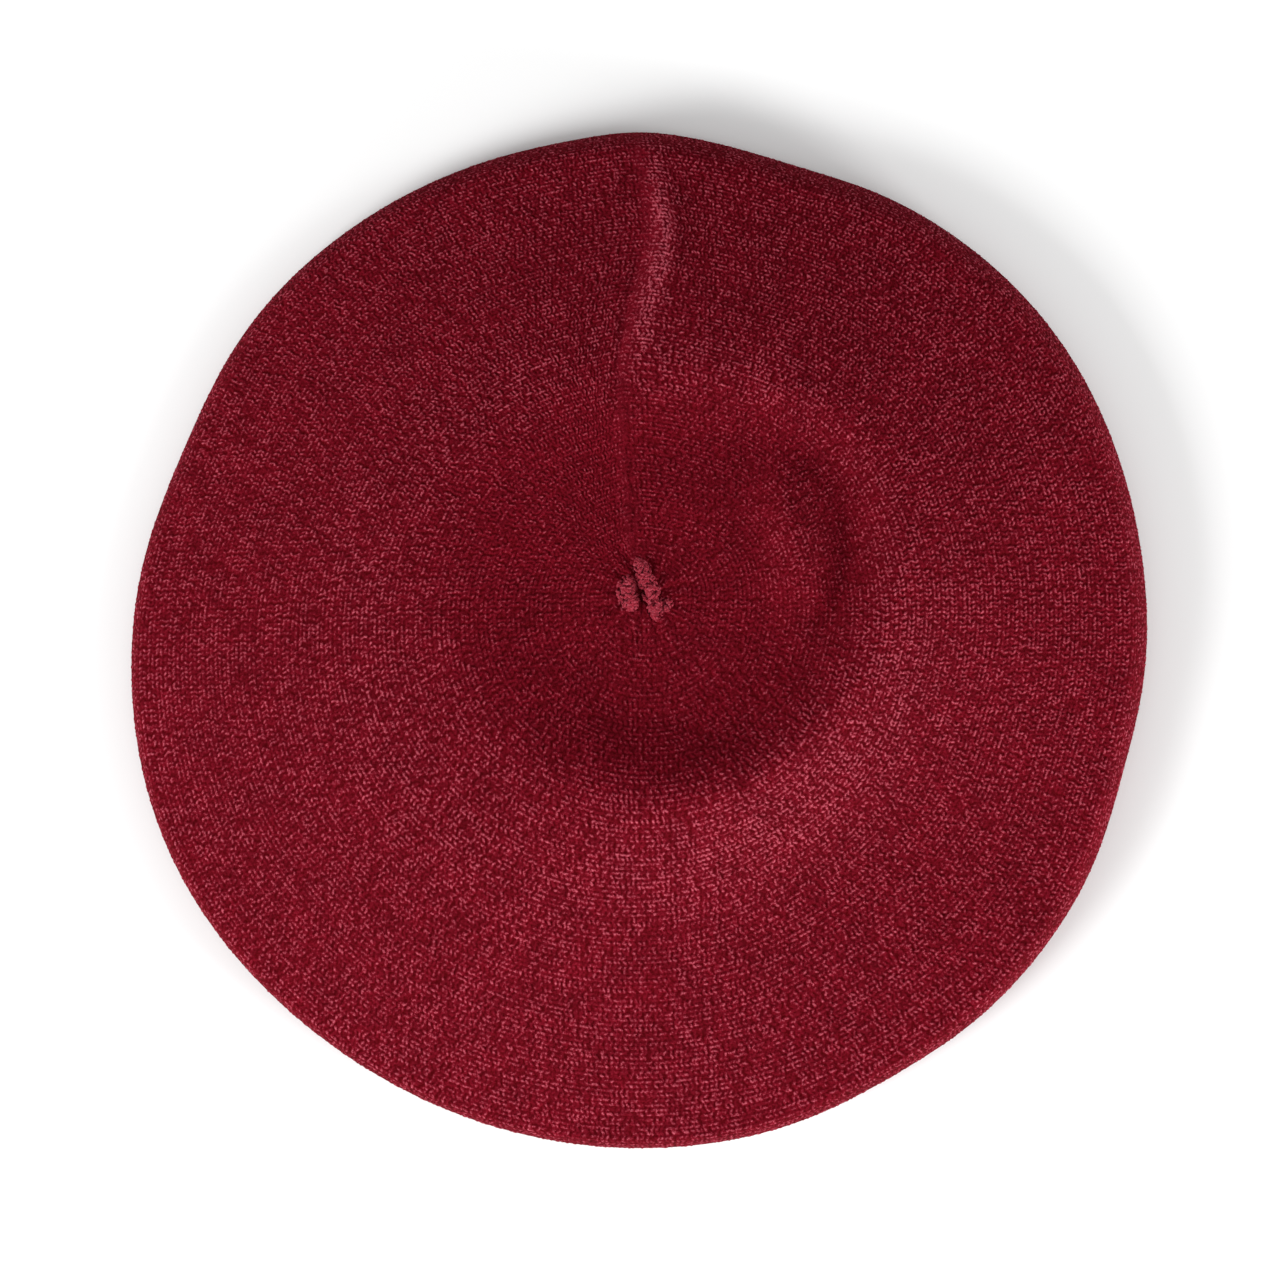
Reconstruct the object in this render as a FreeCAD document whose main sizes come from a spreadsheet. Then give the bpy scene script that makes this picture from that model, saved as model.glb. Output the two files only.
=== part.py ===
import FreeCAD, Part
import Sketcher
import os
import re

# A knitted beret lying crown up on a table, in millimetres, +Z up.
# The origin is the centre of the head opening, in the plane of the headband's lower edge.
# -Y is the front and +Y the back, where the one radial seam runs from the closed centre to the rim,
# back underneath to the headband and down the band.
#
# The knitted body is one fabric. It is held here as its top and its underside, which meet face to
# face at the rim, so that the hollow between them stays open. The headband is a strip folded double
# at its lower edge, with an elastic tape in the fold. Yarns, stitches and labels are pieces too.

# name, value in millimetres, meaning
DIMENSIONS = [
    ("BandRadius", 70.0, "inner wall of the relaxed headband"),
    ("BandHeight", 24.0, "lower edge to the join with the underside"),
    ("LayerThick", 1.9, "one layer of the headband"),
    ("ChannelGap", 1.2, "space between the two layers"),
    ("ChannelFloor", 2.6, "fabric at the fold, below that space"),
    ("BandRound", 1.5, "outer round of the lower edge"),
    ("KnitThick", 2.3, "the body's fabric, measured upright"),
    ("CrownRadius", 140.0, "rim of the crown"),
    ("CrownX", 3.8, "crown's axis, sideways of the opening's"),
    ("CrownY", -7.0, "crown's axis, to the back of the opening's"),
    ("DishRadius", 52.0, "level floor of the sunken centre"),
    ("DishHeight", 30.5, "top of the sunken centre"),
    ("DishRound", 30.0, "round where the floor turns up"),
    ("RidgeRadius", 72.0, "ring where the crown lies over the band"),
    ("RidgeHeight", 34.5, "top of that ring"),
    ("ShoulderRadius", 124.0, "where the slope turns down to the rim"),
    ("ShoulderHeight", 18.0, "top of the shoulder"),
    ("SoftRound", 14.0, "round of the ring and the shoulder"),
    ("RimHeight", 9.5, "top of the rim's upright edge"),
    ("RimDrop", 1.4, "inner side of that edge below the outer"),
    ("RimRound", 4.0, "round of the rim"),
    ("LipTop", 3.4, "where the top and the underside meet"),
    ("LipWidth", 4.0, "level lip of the underside at the rim"),
    ("EdgeGap", 0.2, "between the underside's edge and the band"),
    ("CollarHeight", 2.4, "seam allowance that stands up round the opening"),
    ("ElasticThick", 0.8, "tape in the band's fold"),
    ("ElasticWidth", 15.0, "tape in the band's fold"),
    ("ElasticLift", 4.0, "tape's lower edge above the table"),
    ("JoinYarn", 0.9, "radius of the chain that joins band and underside"),
    ("SeamX", 3.0, "the radial seam, sideways of the opening's axis"),
    ("SeamWidth", 2.4, "linking yarn, across the seam"),
    ("SeamThick", 1.2, "linking yarn, upright"),
    ("SeamGap", 0.2, "linking yarn to fabric"),
    ("SeamStart", 20.0, "linking yarn's inner end, from the crown's axis"),
    ("SeamEnd", 133.0, "linking yarn's outer end, from the crown's axis"),
    ("GatherX", 5.2, "closed centre, sideways"),
    ("GatherY", 5.5, "closed centre, to the back"),
    ("LumpLong", 5.6, "half length of one lump of closing yarn"),
    ("LumpWide", 3.0, "half width of one lump"),
    ("LumpTall", 3.4, "height of one lump"),
    ("DrawRing", 3.6, "ring of drawn yarn under the centre"),
    ("DrawYarn", 0.9, "radius of that yarn"),
    ("MakerLength", 34.0, "woven label, sideways"),
    ("MakerWidth", 13.0, "woven label, front to back"),
    ("MakerThick", 0.5, "woven label"),
    ("MakerX", 8.0, "woven label's left end"),
    ("MakerY", 12.0, "woven label's front edge"),
    ("LabelGap", 0.2, "woven label to fabric"),
    ("TackWidth", 0.8, "row of stitches"),
    ("TackThick", 0.4, "row of stitches on the woven label, upright"),
    ("TackInset", 1.5, "row of stitches from the label's end"),
    ("CareLength", 25.0, "care label, away from the seam"),
    ("CareWidth", 18.0, "care label, along the seam"),
    ("CareThick", 0.6, "care label, both plies"),
    ("CareX", 0.8, "care label's hinge line, sideways"),
    ("CareY", 35.0, "care label's middle, to the back"),
    ("CareZ", 26.2, "care label's hinge line, above the table"),
    ("CareRoll", 0.45, "radius of the rolled edge on the hinge line"),
    ("StitchLength", 2.0, "one stitch that holds the care label"),
    ("StitchPitch", 3.5, "from one such stitch to the next"),
    ("StitchGap", 0.3, "stitch to rolled edge"),
]
CARE_STITCHES = 5
LUMP_TURNS = {"left": 70.0, "back": -75.0, "right": -55.0}  # degrees about Z

BAND_OUTER = "BandRadius + 2*LayerThick + ChannelGap"
LABEL_LOW = "DishHeight - KnitThick - LabelGap - MakerThick"

doc = FreeCAD.newDocument("Beret")
sheet = doc.addObject("Spreadsheet::Sheet", "Sheet")
size = {}
for row, (name, value, meaning) in enumerate(DIMENSIONS, start=1):
    sheet.set(f"A{row}", name)
    sheet.set(f"B{row}", str(value))
    sheet.set(f"C{row}", meaning)
    sheet.setAlias(f"B{row}", name)
    size[name] = value
doc.recompute()


# ---------------------------------------------------------------- sizes as words


def bound(words):
    """The expression that reads words, such as BandRadius + 2*LayerThick, from the sheet."""
    return re.sub(r"[A-Z][A-Za-z]+", lambda found: "Sheet." + found.group(0), words)


def worth(words):
    """What words, and plain numbers joined to them by +, - and *, come to now."""
    total = 0.0
    for term in words.replace(" ", "").replace("-", "+-1*").split("+"):
        if term:
            product = 1.0
            for factor in term.split("*"):
                product *= size[factor] if factor in size else float(factor)
            total += product
    return total


def place(thing, x, y, z):
    """Binds where thing stands. An empty text leaves that way at zero."""
    for way, words in zip("xyz", (x, y, z)):
        if words:
            thing.setExpression(f"Placement.Base.{way}", bound(words))


# ---------------------------------------------------------------- bodies from sketches


def body(label, x="", y="", z=""):
    made = doc.addObject("PartDesign::Body", label)
    place(made, x, y, z)
    return made


def empty_sketch(owner, name, role):
    """A sketch on one of owner's own origin planes."""
    sketch = owner.newObject("Sketcher::SketchObject", name)
    plane = next(feature for feature in owner.Origin.OriginFeatures if feature.Role == role)
    sketch.AttachmentSupport = (plane, "")
    sketch.MapMode = "FlatFace"
    return sketch


def outline(owner, name, role, corners):
    """A closed outline of straight runs, each corner bound to the sheet."""
    sketch = empty_sketch(owner, name, role)
    spots = [FreeCAD.Vector(worth(across), worth(up), 0) for across, up in corners]
    count = len(spots)
    for i in range(count):
        sketch.addGeometry(Part.LineSegment(spots[i], spots[(i + 1) % count]))
    for i in range(count):
        sketch.addConstraint(Sketcher.Constraint("Coincident", i, 2, (i + 1) % count, 1))
    for i, (across, up) in enumerate(corners):
        for kind, words, axis in (("DistanceX", across, -2), ("DistanceY", up, -1)):
            if words == "0":
                sketch.addConstraint(Sketcher.Constraint("PointOnObject", i, 1, axis))
            else:
                limit = Sketcher.Constraint(kind, -1, 1, i, 1, worth(words))
                index = sketch.addConstraint(limit)
                sketch.setExpression(f"Constraints[{index}]", bound(words))
    return sketch


def revolve(owner, name, corners):
    """A full turn about owner's Z axis of an outline in its XZ plane."""
    feature = owner.newObject("PartDesign::Revolution", name)
    feature.Profile = outline(owner, name + "Outline", "XZ_Plane", corners)
    feature.ReferenceAxis = (feature.Profile[0], ["V_Axis"])
    feature.Angle = 360.0
    doc.recompute()
    return feature


def pad(owner, name, sketch, length):
    """A sketch given a length, half of it to each side."""
    feature = owner.newObject("PartDesign::Pad", name)
    feature.Profile = sketch
    feature.SideType = "Symmetric"
    feature.setExpression("Length", bound(length))
    doc.recompute()
    return feature


def round_edges(owner, feature, name, radius, circles):
    """Rounds feature's circular edges that have these (radius, height) pairs."""
    wanted = [(worth(r), worth(z)) for r, z in circles]
    found = []
    for i, edge in enumerate(feature.Shape.Edges, start=1):
        if isinstance(edge.Curve, Part.Circle):
            r, z = edge.Curve.Radius, edge.Curve.Center.z
            if any(abs(r - want_r) + abs(z - want_z) < 0.01 for want_r, want_z in wanted):
                found.append(f"Edge{i}")
    if len(found) != len(wanted):
        raise RuntimeError(f"{name} found {len(found)} edges of {len(wanted)}")
    fillet = owner.newObject("PartDesign::Fillet", name)
    fillet.Base = (feature, found)
    fillet.setExpression("Radius", bound(radius))
    doc.recompute()
    return fillet


# ---------------------------------------------------------------- primitives and booleans


def plate(name, length, width, height, x, y, z):
    made = doc.addObject("Part::Box", name)
    for side, words in (("Length", length), ("Width", width), ("Height", height)):
        made.setExpression(side, bound(words))
    place(made, x, y, z)
    return made


def disc(name, radius, height, x="", y="", z=""):
    made = doc.addObject("Part::Cylinder", name)
    made.setExpression("Radius", bound(radius))
    made.setExpression("Height", bound(height))
    place(made, x, y, z)
    return made


def yarn_ring(name, radius, yarn, x, y, z):
    made = doc.addObject("Part::Torus", name)
    made.setExpression("Radius1", bound(radius))
    made.setExpression("Radius2", bound(yarn))
    place(made, x, y, z)
    return made


def cut(name, base, tool):
    made = doc.addObject("Part::Cut", name)
    made.Base, made.Tool = base, tool
    return made


def joined(name, shapes):
    made = doc.addObject("Part::MultiFuse", name)
    made.Shapes = shapes
    return made


def slanting_block(name, drop):
    """The solid between the lip's circle and the opening's, both lowered by drop."""
    made = doc.addObject("Part::Loft", name)
    ends = (
        ("Foot", "CrownRadius - LipWidth", "CrownX", "CrownY", "LipTop"),
        ("Head", BAND_OUTER + " + EdgeGap", "", "", "BandHeight"),
    )
    sections = []
    for end, radius, x, y, z in ends:
        circle = doc.addObject("Part::Circle", name + end)
        circle.setExpression("Radius", bound(radius))
        place(circle, x, y, z + drop)
        sections.append(circle)
    made.Sections = sections
    made.Solid = True
    made.Ruled = True
    return made


def group(name, pieces):
    """Separate solids that share one node."""
    made = doc.addObject("Part::Compound", name)
    made.Links = pieces
    return made


# ---------------------------------------------------------------- the knitted body


def make_crown_top():
    """A sunken centre, a ring over the headband, a slope and an upright rim."""
    crown = body("crown_top", "CrownX", "CrownY")
    upper = {
        "floor": ("DishRadius", "DishHeight"),
        "ridge": ("RidgeRadius", "RidgeHeight"),
        "shoulder": ("ShoulderRadius", "ShoulderHeight"),
        "rim": ("CrownRadius", "RimHeight"),
    }
    lower = {
        "floor": ("DishRadius", "DishHeight - KnitThick"),
        "ridge": ("RidgeRadius", "RidgeHeight - KnitThick"),
        "shoulder": ("ShoulderRadius - 0.3*KnitThick", "ShoulderHeight - KnitThick"),
        "rim": ("CrownRadius - KnitThick", "RimHeight - RimDrop"),
    }
    shell = revolve(
        crown,
        "CrownShell",
        [("0", "DishHeight")]
        + list(upper.values())
        + [("CrownRadius", "LipTop"), ("CrownRadius - KnitThick", "LipTop")]
        + list(lower.values())[::-1]
        + [("0", "DishHeight - KnitThick")],
    )
    soft = [line[key] for line in (upper, lower) for key in ("ridge", "shoulder")]
    shell = round_edges(crown, shell, "SoftRounds", "SoftRound", soft)
    shell = round_edges(crown, shell, "FloorRounds", "DishRound", [upper["floor"], lower["floor"]])
    shell = round_edges(crown, shell, "OuterRimRound", "RimRound", [upper["rim"]])
    round_edges(crown, shell, "InnerRimRound", "RimRound - 0.8*KnitThick", [lower["rim"]])
    return crown


def make_crown_underside():
    """A level lip under the rim, a slope up to the opening, and the seam allowance round it.

    The lip is round the crown's axis and the opening round the band's, so the slope is a loft
    between circles that don't share a centre.
    """
    hole = BAND_OUTER + " + EdgeGap"
    lip = disc("Lip", "CrownRadius", "KnitThick", "CrownX", "CrownY", "LipTop - KnitThick")
    collar_low = "BandHeight - KnitThick"
    collar = disc("Collar", hole + " + KnitThick", "KnitThick + CollarHeight", z=collar_low)
    solid = joined("UndersideSolid", [slanting_block("SlopeTop", ""), lip, collar])
    opening = disc("OpeningHole", hole, "2*BandHeight")
    hollow = joined("UndersideHollow", [slanting_block("SlopeHollow", " - KnitThick"), opening])
    return cut("crown_underside", solid, hollow)


# ---------------------------------------------------------------- the headband


def make_headband():
    """A strip folded double, open at the top, where both edges are joined to the underside."""
    band = body("headband")
    strip = revolve(
        band,
        "FoldedStrip",
        [
            ("BandRadius", "0"),
            (BAND_OUTER, "0"),
            (BAND_OUTER, "BandHeight"),
            ("BandRadius + LayerThick + ChannelGap", "BandHeight"),
            ("BandRadius + LayerThick + ChannelGap", "ChannelFloor"),
            ("BandRadius + LayerThick", "ChannelFloor"),
            ("BandRadius + LayerThick", "BandHeight"),
            ("BandRadius", "BandHeight"),
        ],
    )
    round_edges(band, strip, "LowerEdgeRound", "BandRound", [(BAND_OUTER, "0")])
    return band


def make_band_elastic():
    """A flat tape, in the middle of the space between the layers."""
    inner = "BandRadius + LayerThick + 0.5*ChannelGap - 0.5*ElasticThick"
    outside = disc("TapeOutside", inner + " + ElasticThick", "ElasticWidth", z="ElasticLift")
    inside = disc("TapeInside", inner, "ElasticWidth", z="ElasticLift")
    return cut("band_elastic", outside, inside)


def make_band_join_yarn():
    """The chain of yarn that links both edges of the band to the underside."""
    middle = "BandRadius + LayerThick + 0.5*ChannelGap"
    return yarn_ring("band_join_yarn", middle, "JoinYarn", "", "", "BandHeight + 1.1*JoinYarn")


def make_band_seam_yarn():
    """The yarn that closes the strip into a ring, on the band's outer face at the back."""
    seam = body("band_seam_yarn")
    near = BAND_OUTER + " + SeamGap"
    low, high = "2*BandRound", "BandHeight - 2*KnitThick"
    corners = [(near, low), (near + " + SeamThick", low), (near + " + SeamThick", high), (near, high)]
    pad(seam, "BandSeam", outline(seam, "BandSeamOutline", "YZ_Plane", corners), "SeamWidth")
    return seam


# ---------------------------------------------------------------- seam and centre


def make_back_seam_yarn():
    """The linking yarn of the radial seam, inside the hat, under the top and on the underside."""
    top = body("SeamUnderTop", "SeamX", "CrownY")
    ceiling = [
        ("SeamStart", "DishHeight - KnitThick - SeamGap"),
        ("DishRadius", "DishHeight - KnitThick - SeamGap"),
        ("RidgeRadius", "RidgeHeight - KnitThick - 4*SeamGap"),
        ("ShoulderRadius - 3*SeamThick", "ShoulderHeight - KnitThick + SeamThick - 2*SeamGap"),
        ("SeamEnd", "RimHeight + 2*SeamGap - 0.2*SeamThick"),
    ]
    floor = [(across, up + " - SeamThick") for across, up in ceiling]
    sketch = outline(top, "UnderTopOutline", "YZ_Plane", ceiling + floor[::-1])
    pad(top, "UnderTopYarn", sketch, "SeamWidth")

    under = body("SeamOnUnderside", "SeamX")
    collar = BAND_OUTER + " + 2*KnitThick"
    lip = "CrownRadius + CrownY - LipWidth"
    sketch = outline(
        under,
        "OnUndersideOutline",
        "YZ_Plane",
        [
            (lip, "LipTop + 2*SeamGap"),
            (lip, "LipTop + 2*SeamGap + SeamThick"),
            (collar, "BandHeight + 2*SeamGap + SeamThick - 0.4*KnitThick"),
            (collar, "BandHeight + 2*SeamGap - 0.4*KnitThick"),
        ],
    )
    pad(under, "OnUndersideYarn", sketch, "SeamWidth")
    return group("back_seam_yarn", [top, under])


def make_closing_yarn():
    """Three lumps of bunched yarn round a small hole, which close the centre on the outside."""
    middles = {
        "left": ("GatherX - 0.7*LumpLong", "GatherY - 0.2*LumpLong"),
        "back": ("GatherX + 0.2*LumpLong", "GatherY + 0.6*LumpLong"),
        "right": ("GatherX + 0.6*LumpLong", "GatherY - 0.5*LumpLong"),
    }
    lumps = []
    for side, (x, y) in middles.items():
        lump = doc.addObject("Part::Ellipsoid", f"Lump_{side}")
        for radius, words in zip("123", ("LumpTall", "LumpLong", "LumpWide")):
            lump.setExpression(f"Radius{radius}", bound(words))
        lump.Placement.Rotation = FreeCAD.Rotation(FreeCAD.Vector(0, 0, 1), LUMP_TURNS[side])
        place(lump, x, y, "DishHeight")
        lumps.append(lump)
    buried = plate(
        "BelowFabric",
        "8*LumpLong",
        "8*LumpLong",
        "2*LumpTall",
        "GatherX - 4*LumpLong",
        "GatherY - 4*LumpLong",
        "DishHeight - 2*LumpTall",
    )
    return cut("closing_yarn", joined("Lumps", lumps), buried)


def make_draw_yarn():
    """The ring of drawn yarn on the inside, under the centre."""
    height = "DishHeight - KnitThick - SeamGap - DrawYarn"
    return yarn_ring("draw_yarn_ring", "DrawRing", "DrawYarn", "GatherX", "GatherY", height)


# ---------------------------------------------------------------- labels


def make_maker_label():
    """A blank woven label, flat under the sunken centre."""
    sizes = ("MakerLength", "MakerWidth", "MakerThick")
    return plate("maker_label", *sizes, "MakerX", "MakerY", LABEL_LOW)


def make_maker_label_stitches():
    """A row of stitches at each end of the woven label."""
    ends = {"Left": "MakerX + TackInset", "Right": "MakerX + MakerLength - TackInset - TackWidth"}
    sizes = ("TackWidth", "MakerWidth - 2*TackInset", "TackThick")
    low = LABEL_LOW + " - TackThick"
    rows = [plate(side + "Tack", *sizes, x, "MakerY + TackInset", low) for side, x in ends.items()]
    return group("maker_label_stitches", rows)


def make_care_label():
    """A folded ribbon with a rolled edge on the hinge line, about which it flaps."""
    label = body("care_label", "CareX", "CareY", "CareZ")
    corners = [
        ("-CareLength", "-0.5*CareThick"),
        ("0", "-0.5*CareThick"),
        ("0", "0.5*CareThick"),
        ("-CareLength", "0.5*CareThick"),
    ]
    pad(label, "FoldedPly", outline(label, "PlyOutline", "XZ_Plane", corners), "CareWidth")
    sketch = empty_sketch(label, "RollOutline", "XZ_Plane")
    middle, normal = FreeCAD.Vector(0, 0, 0), FreeCAD.Vector(0, 0, 1)
    sketch.addGeometry(Part.Circle(middle, normal, size["CareRoll"]))
    sketch.addConstraint(Sketcher.Constraint("Coincident", 0, 3, -1, 1))
    index = sketch.addConstraint(Sketcher.Constraint("Radius", 0, size["CareRoll"]))
    sketch.setExpression(f"Constraints[{index}]", bound("CareRoll"))
    pad(label, "RolledEdge", sketch, "CareWidth")
    return label


def make_care_label_stitches():
    """The stitches that hold the care label's rolled edge up to the fabric."""
    low = "CareZ + CareRoll + StitchGap"
    tall = "DishHeight - KnitThick - 2*StitchGap - CareZ - CareRoll"
    stitches = []
    for i in range(CARE_STITCHES):
        front = f"CareY - 0.5*StitchLength + {i - (CARE_STITCHES - 1) / 2}*StitchPitch"
        name = f"CareStitch{i + 1}"
        x = "CareX - 0.5*TackWidth"
        stitches.append(plate(name, "TackWidth", "StitchLength", tall, x, front, low))
    return group("care_label_stitches", stitches)


# ---------------------------------------------------------------- all of it, checked and written

pieces = [
    make_crown_top(),
    make_crown_underside(),
    make_headband(),
    make_band_elastic(),
    make_band_join_yarn(),
    make_band_seam_yarn(),
    make_back_seam_yarn(),
    make_closing_yarn(),
    make_draw_yarn(),
    make_maker_label(),
    make_maker_label_stitches(),
    make_care_label(),
    make_care_label_stitches(),
]
doc.recompute()

for thing in doc.Objects:
    if {"Invalid", "Error"} & set(thing.State):
        raise RuntimeError(f"{thing.Label} didn't compute: {thing.State}")
for piece in pieces:
    if piece.Shape.isNull() or not piece.Shape.isValid() or not piece.Shape.Solids:
        raise RuntimeError(f"{piece.Label} has no valid solid")

os.makedirs("parts", exist_ok=True)
for piece in pieces:
    box = piece.Shape.optimalBoundingBox(False)
    print(
        f"{piece.Label:22s} {len(piece.Shape.Solids)} solids {piece.Shape.Volume:9.1f} mm3"
        f"  x {box.XMin:7.2f} {box.XMax:7.2f}  y {box.YMin:7.2f} {box.YMax:7.2f}"
        f"  z {box.ZMin:6.2f} {box.ZMax:6.2f}"
    )
    piece.Shape.exportStep(os.path.join("parts", piece.Label + ".step"))
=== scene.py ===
import math

import bpy
import numpy as np
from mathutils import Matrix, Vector


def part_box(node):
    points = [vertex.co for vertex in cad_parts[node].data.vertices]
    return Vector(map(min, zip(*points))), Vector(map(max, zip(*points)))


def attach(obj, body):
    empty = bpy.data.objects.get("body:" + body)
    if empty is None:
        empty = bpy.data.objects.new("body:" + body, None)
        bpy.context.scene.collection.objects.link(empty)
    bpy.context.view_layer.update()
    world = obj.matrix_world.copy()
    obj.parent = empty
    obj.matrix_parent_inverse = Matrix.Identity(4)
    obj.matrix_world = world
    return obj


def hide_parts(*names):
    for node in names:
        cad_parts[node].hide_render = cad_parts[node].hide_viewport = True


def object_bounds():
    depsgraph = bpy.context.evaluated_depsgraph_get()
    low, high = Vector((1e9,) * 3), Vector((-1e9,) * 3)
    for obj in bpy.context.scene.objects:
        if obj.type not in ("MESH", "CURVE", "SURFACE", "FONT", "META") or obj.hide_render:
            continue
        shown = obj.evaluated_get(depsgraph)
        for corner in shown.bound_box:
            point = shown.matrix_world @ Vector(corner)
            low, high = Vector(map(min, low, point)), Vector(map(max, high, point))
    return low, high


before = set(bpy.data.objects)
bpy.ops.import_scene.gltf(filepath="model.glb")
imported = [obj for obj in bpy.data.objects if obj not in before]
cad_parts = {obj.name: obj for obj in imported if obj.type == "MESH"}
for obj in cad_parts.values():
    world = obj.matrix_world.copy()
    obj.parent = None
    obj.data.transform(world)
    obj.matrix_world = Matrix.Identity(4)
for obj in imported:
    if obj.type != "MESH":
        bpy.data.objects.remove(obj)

# A burgundy knitted beret lying crown up on a pale table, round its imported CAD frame.
# Lengths are millimetres until a mesh is made, in the frame's own axes: the origin is the centre of
# the head opening on the table, +Y the back, where the radial seam runs, and +Z up.

MM = 0.001
TURN = 2.0 * math.pi
CAD_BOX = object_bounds()
random = np.random.default_rng(11)

# ------------------------------------------------------------------ sizes

CAD_LOW, CAD_HIGH = (np.array(corner) / MM for corner in CAD_BOX)
OUTLINE_CENTRE = np.array([3.8, -7.0])
OUTLINE_RADIUS = 139.4
NEAR_RIM = 140.0  # a first guess at the rim's distance
GATHER = np.array([5.2, 5.5])  # where the knit is drawn together
KNIT_THICK = 2.1
COURSE = 1.23  # one stitch, along a column
WALE = 2.35  # and across it
TOP_WALES = 60  # columns of stitches from the gathered centre to the rim
UNDER_WALES = 28  # and from the rim back to the headband
GORES = 12  # wedges the panel is knitted in, each a stitch wider from column to column
HOLE_RADIUS = 0.3  # left open at the gathered centre
STITCH_RELIEF = 0.46
SEAM_HALF_WIDTH = 1.7
CARE_THICK = 0.22

BAND_INNER = 70.0
BAND_OUTER = 75.0
BAND_HEIGHT = 24.0

# Swells of the outline: direction in degrees, half width in degrees, height.
OUTLINE_SWELLS = [
    (38, 24, 3.0),
    (72, 9, -1.6),
    (90, 7, 1.3),
    (157, 13, -2.6),
    (203, 23, 2.9),
    (300, 10, -1.2),
    (345, 10, -1.8),
]

# ------------------------------------------------------------------ shape of the knitted body


def swell(angle, centre, half_width):
    """A smooth bump round a circle, angles in radians and centre and half width in degrees."""
    away = np.angle(np.exp(1j * (angle - math.radians(centre))))
    return np.exp(-((away / math.radians(half_width)) ** 2))


def smoothstep(low, high, value):
    part = np.clip((value - low) / (high - low), 0.0, 1.0)
    return part * part * (3.0 - 2.0 * part)


def outline_radius(angle):
    """The rim's distance from the outline's centre."""
    radius = np.full_like(angle, OUTLINE_RADIUS)
    for centre, half_width, height in OUTLINE_SWELLS:
        radius = radius + height * swell(angle, centre, half_width)
    return radius


# The knit sags into a round dish, a little off the opening's axis towards the gathered centre, and
# reaches out further where it lies over the back right of the headband.
DISH_CENTRE = np.array([6.0, 7.0])
DISH_RADIUS = 58.0
DISH_REACH = 13.0
DISH_REACH_WAY = 32.0
DISH_REACH_HALF_WIDTH = 34.0
DISH_FLOOR = 32.9  # height of its floor on the opening's axis
FLOOR_FALL = 0.06
FLOOR_FALL_WAY = 40.0
FOOT_BLEND = 5.0

# Sizes that change round the opening's axis: middle value, swing, direction of the largest.
CREST_RISE = (5.3, 3.0, -42.0)  # height of the dish's edge above its floor
EDGE_BLEND = (5.5, 2.5, 160.0)  # distance over which that edge is rounded
INNER_WALL = (26.0, 11.0, 190.0)  # width over which the dish's side falls
WALL_FOOT = (81.0, 3.0, -40.0)  # radius where the slope off the headband eases
RIM_HEIGHT = (14.5, 2.5, -10.0)  # where the slope reaches the rim's round
RIM_ROUND = (0.965, 0.015, 225.0)  # fraction of the outline where that round begins

RIM_FOLD = 0.8  # 1 is a full round, and less is a sharper fold
RIM_APEX = 5.4  # height of the rim's outermost line where RIM_HEIGHT is RIM_USUAL
RIM_USUAL = 11.0
RIM_APEX_SHARE = 0.3  # how much of the rest of RIM_HEIGHT that line follows

# The headband pushes the knit up to a steeper slope at the front right.
WALL_SLOPE = 0.22
STEEP_MORE = 0.46
STEEP_WAY = -42.0
STEEP_HALF_WIDTH = 46.0

# The soft bump inside the dish: place, half widths along and across, turn in degrees, height.
CROWN_SWELLS = [(46.0, 22.0, 21.0, 8.5, 100.0, 6.0)]


def around(angle, size):
    """A size that swings about its middle value as it goes round the opening's axis."""
    middle, swing, way = size
    return middle + swing * np.cos(angle - math.radians(way))


def dish_edge(angle):
    """Distance from the opening's axis to the dish's edge."""
    along = DISH_CENTRE[0] * np.cos(angle) + DISH_CENTRE[1] * np.sin(angle)
    circle = along + np.sqrt(DISH_RADIUS**2 - DISH_CENTRE @ DISH_CENTRE + along**2)
    return circle + DISH_REACH * swell(angle, DISH_REACH_WAY, DISH_REACH_HALF_WIDTH)


def soft_ramp(value, blend):
    return blend * np.logaddexp(0.0, value / blend)


def crown_swells(x, y):
    """The height that the soft swells add."""
    height = 0.0
    for cx, cy, along, across, turn, tall in CROWN_SWELLS:
        c, s = math.cos(math.radians(turn)), math.sin(math.radians(turn))
        u = ((x - cx) * c + (y - cy) * s) / along
        v = (-(x - cx) * s + (y - cy) * c) / across
        height = height + tall * np.exp(-(u * u + v * v))
    return height


def crown_height(x, y):
    """The outer face of the crown above the table, without the rim's round."""
    angle, distance = np.arctan2(y, x), np.hypot(x, y)
    edge, foot = dish_edge(angle), around(angle, WALL_FOOT)
    inner_wall, rim = around(angle, INNER_WALL), around(angle, RIM_HEIGHT)
    fall = FLOOR_FALL * np.cos(angle - math.radians(FLOOR_FALL_WAY))
    crest = DISH_FLOOR - fall * edge + around(angle, CREST_RISE)
    wall = WALL_SLOPE + STEEP_MORE * swell(angle, STEEP_WAY, STEEP_HALF_WIDTH)
    rim_way, _ = outline_part(x, y)
    gentle = (crest - rim - wall * (foot - edge)) / (rim_way - foot)
    height = crest - wall * soft_ramp(distance - edge, around(angle, EDGE_BLEND))
    height = height + (wall - gentle) * soft_ramp(distance - foot, FOOT_BLEND)
    sunken = 1.0 - smoothstep(edge - inner_wall, edge + 3.0, distance)
    height = height - (crest - DISH_FLOOR + fall * distance) * sunken
    return height + crown_swells(x, y)


def outline_part(x, y):
    """(distance from the opening's axis to the rim that way, place as a fraction of the outline)."""
    dx, dy = x - OUTLINE_CENTRE[0], y - OUTLINE_CENTRE[1]
    part = np.hypot(dx, dy) / outline_radius(np.arctan2(dy, dx))
    distance = np.hypot(x, y)
    return np.where(part > 0.2, distance / np.maximum(part, 0.2), NEAR_RIM), part


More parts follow.
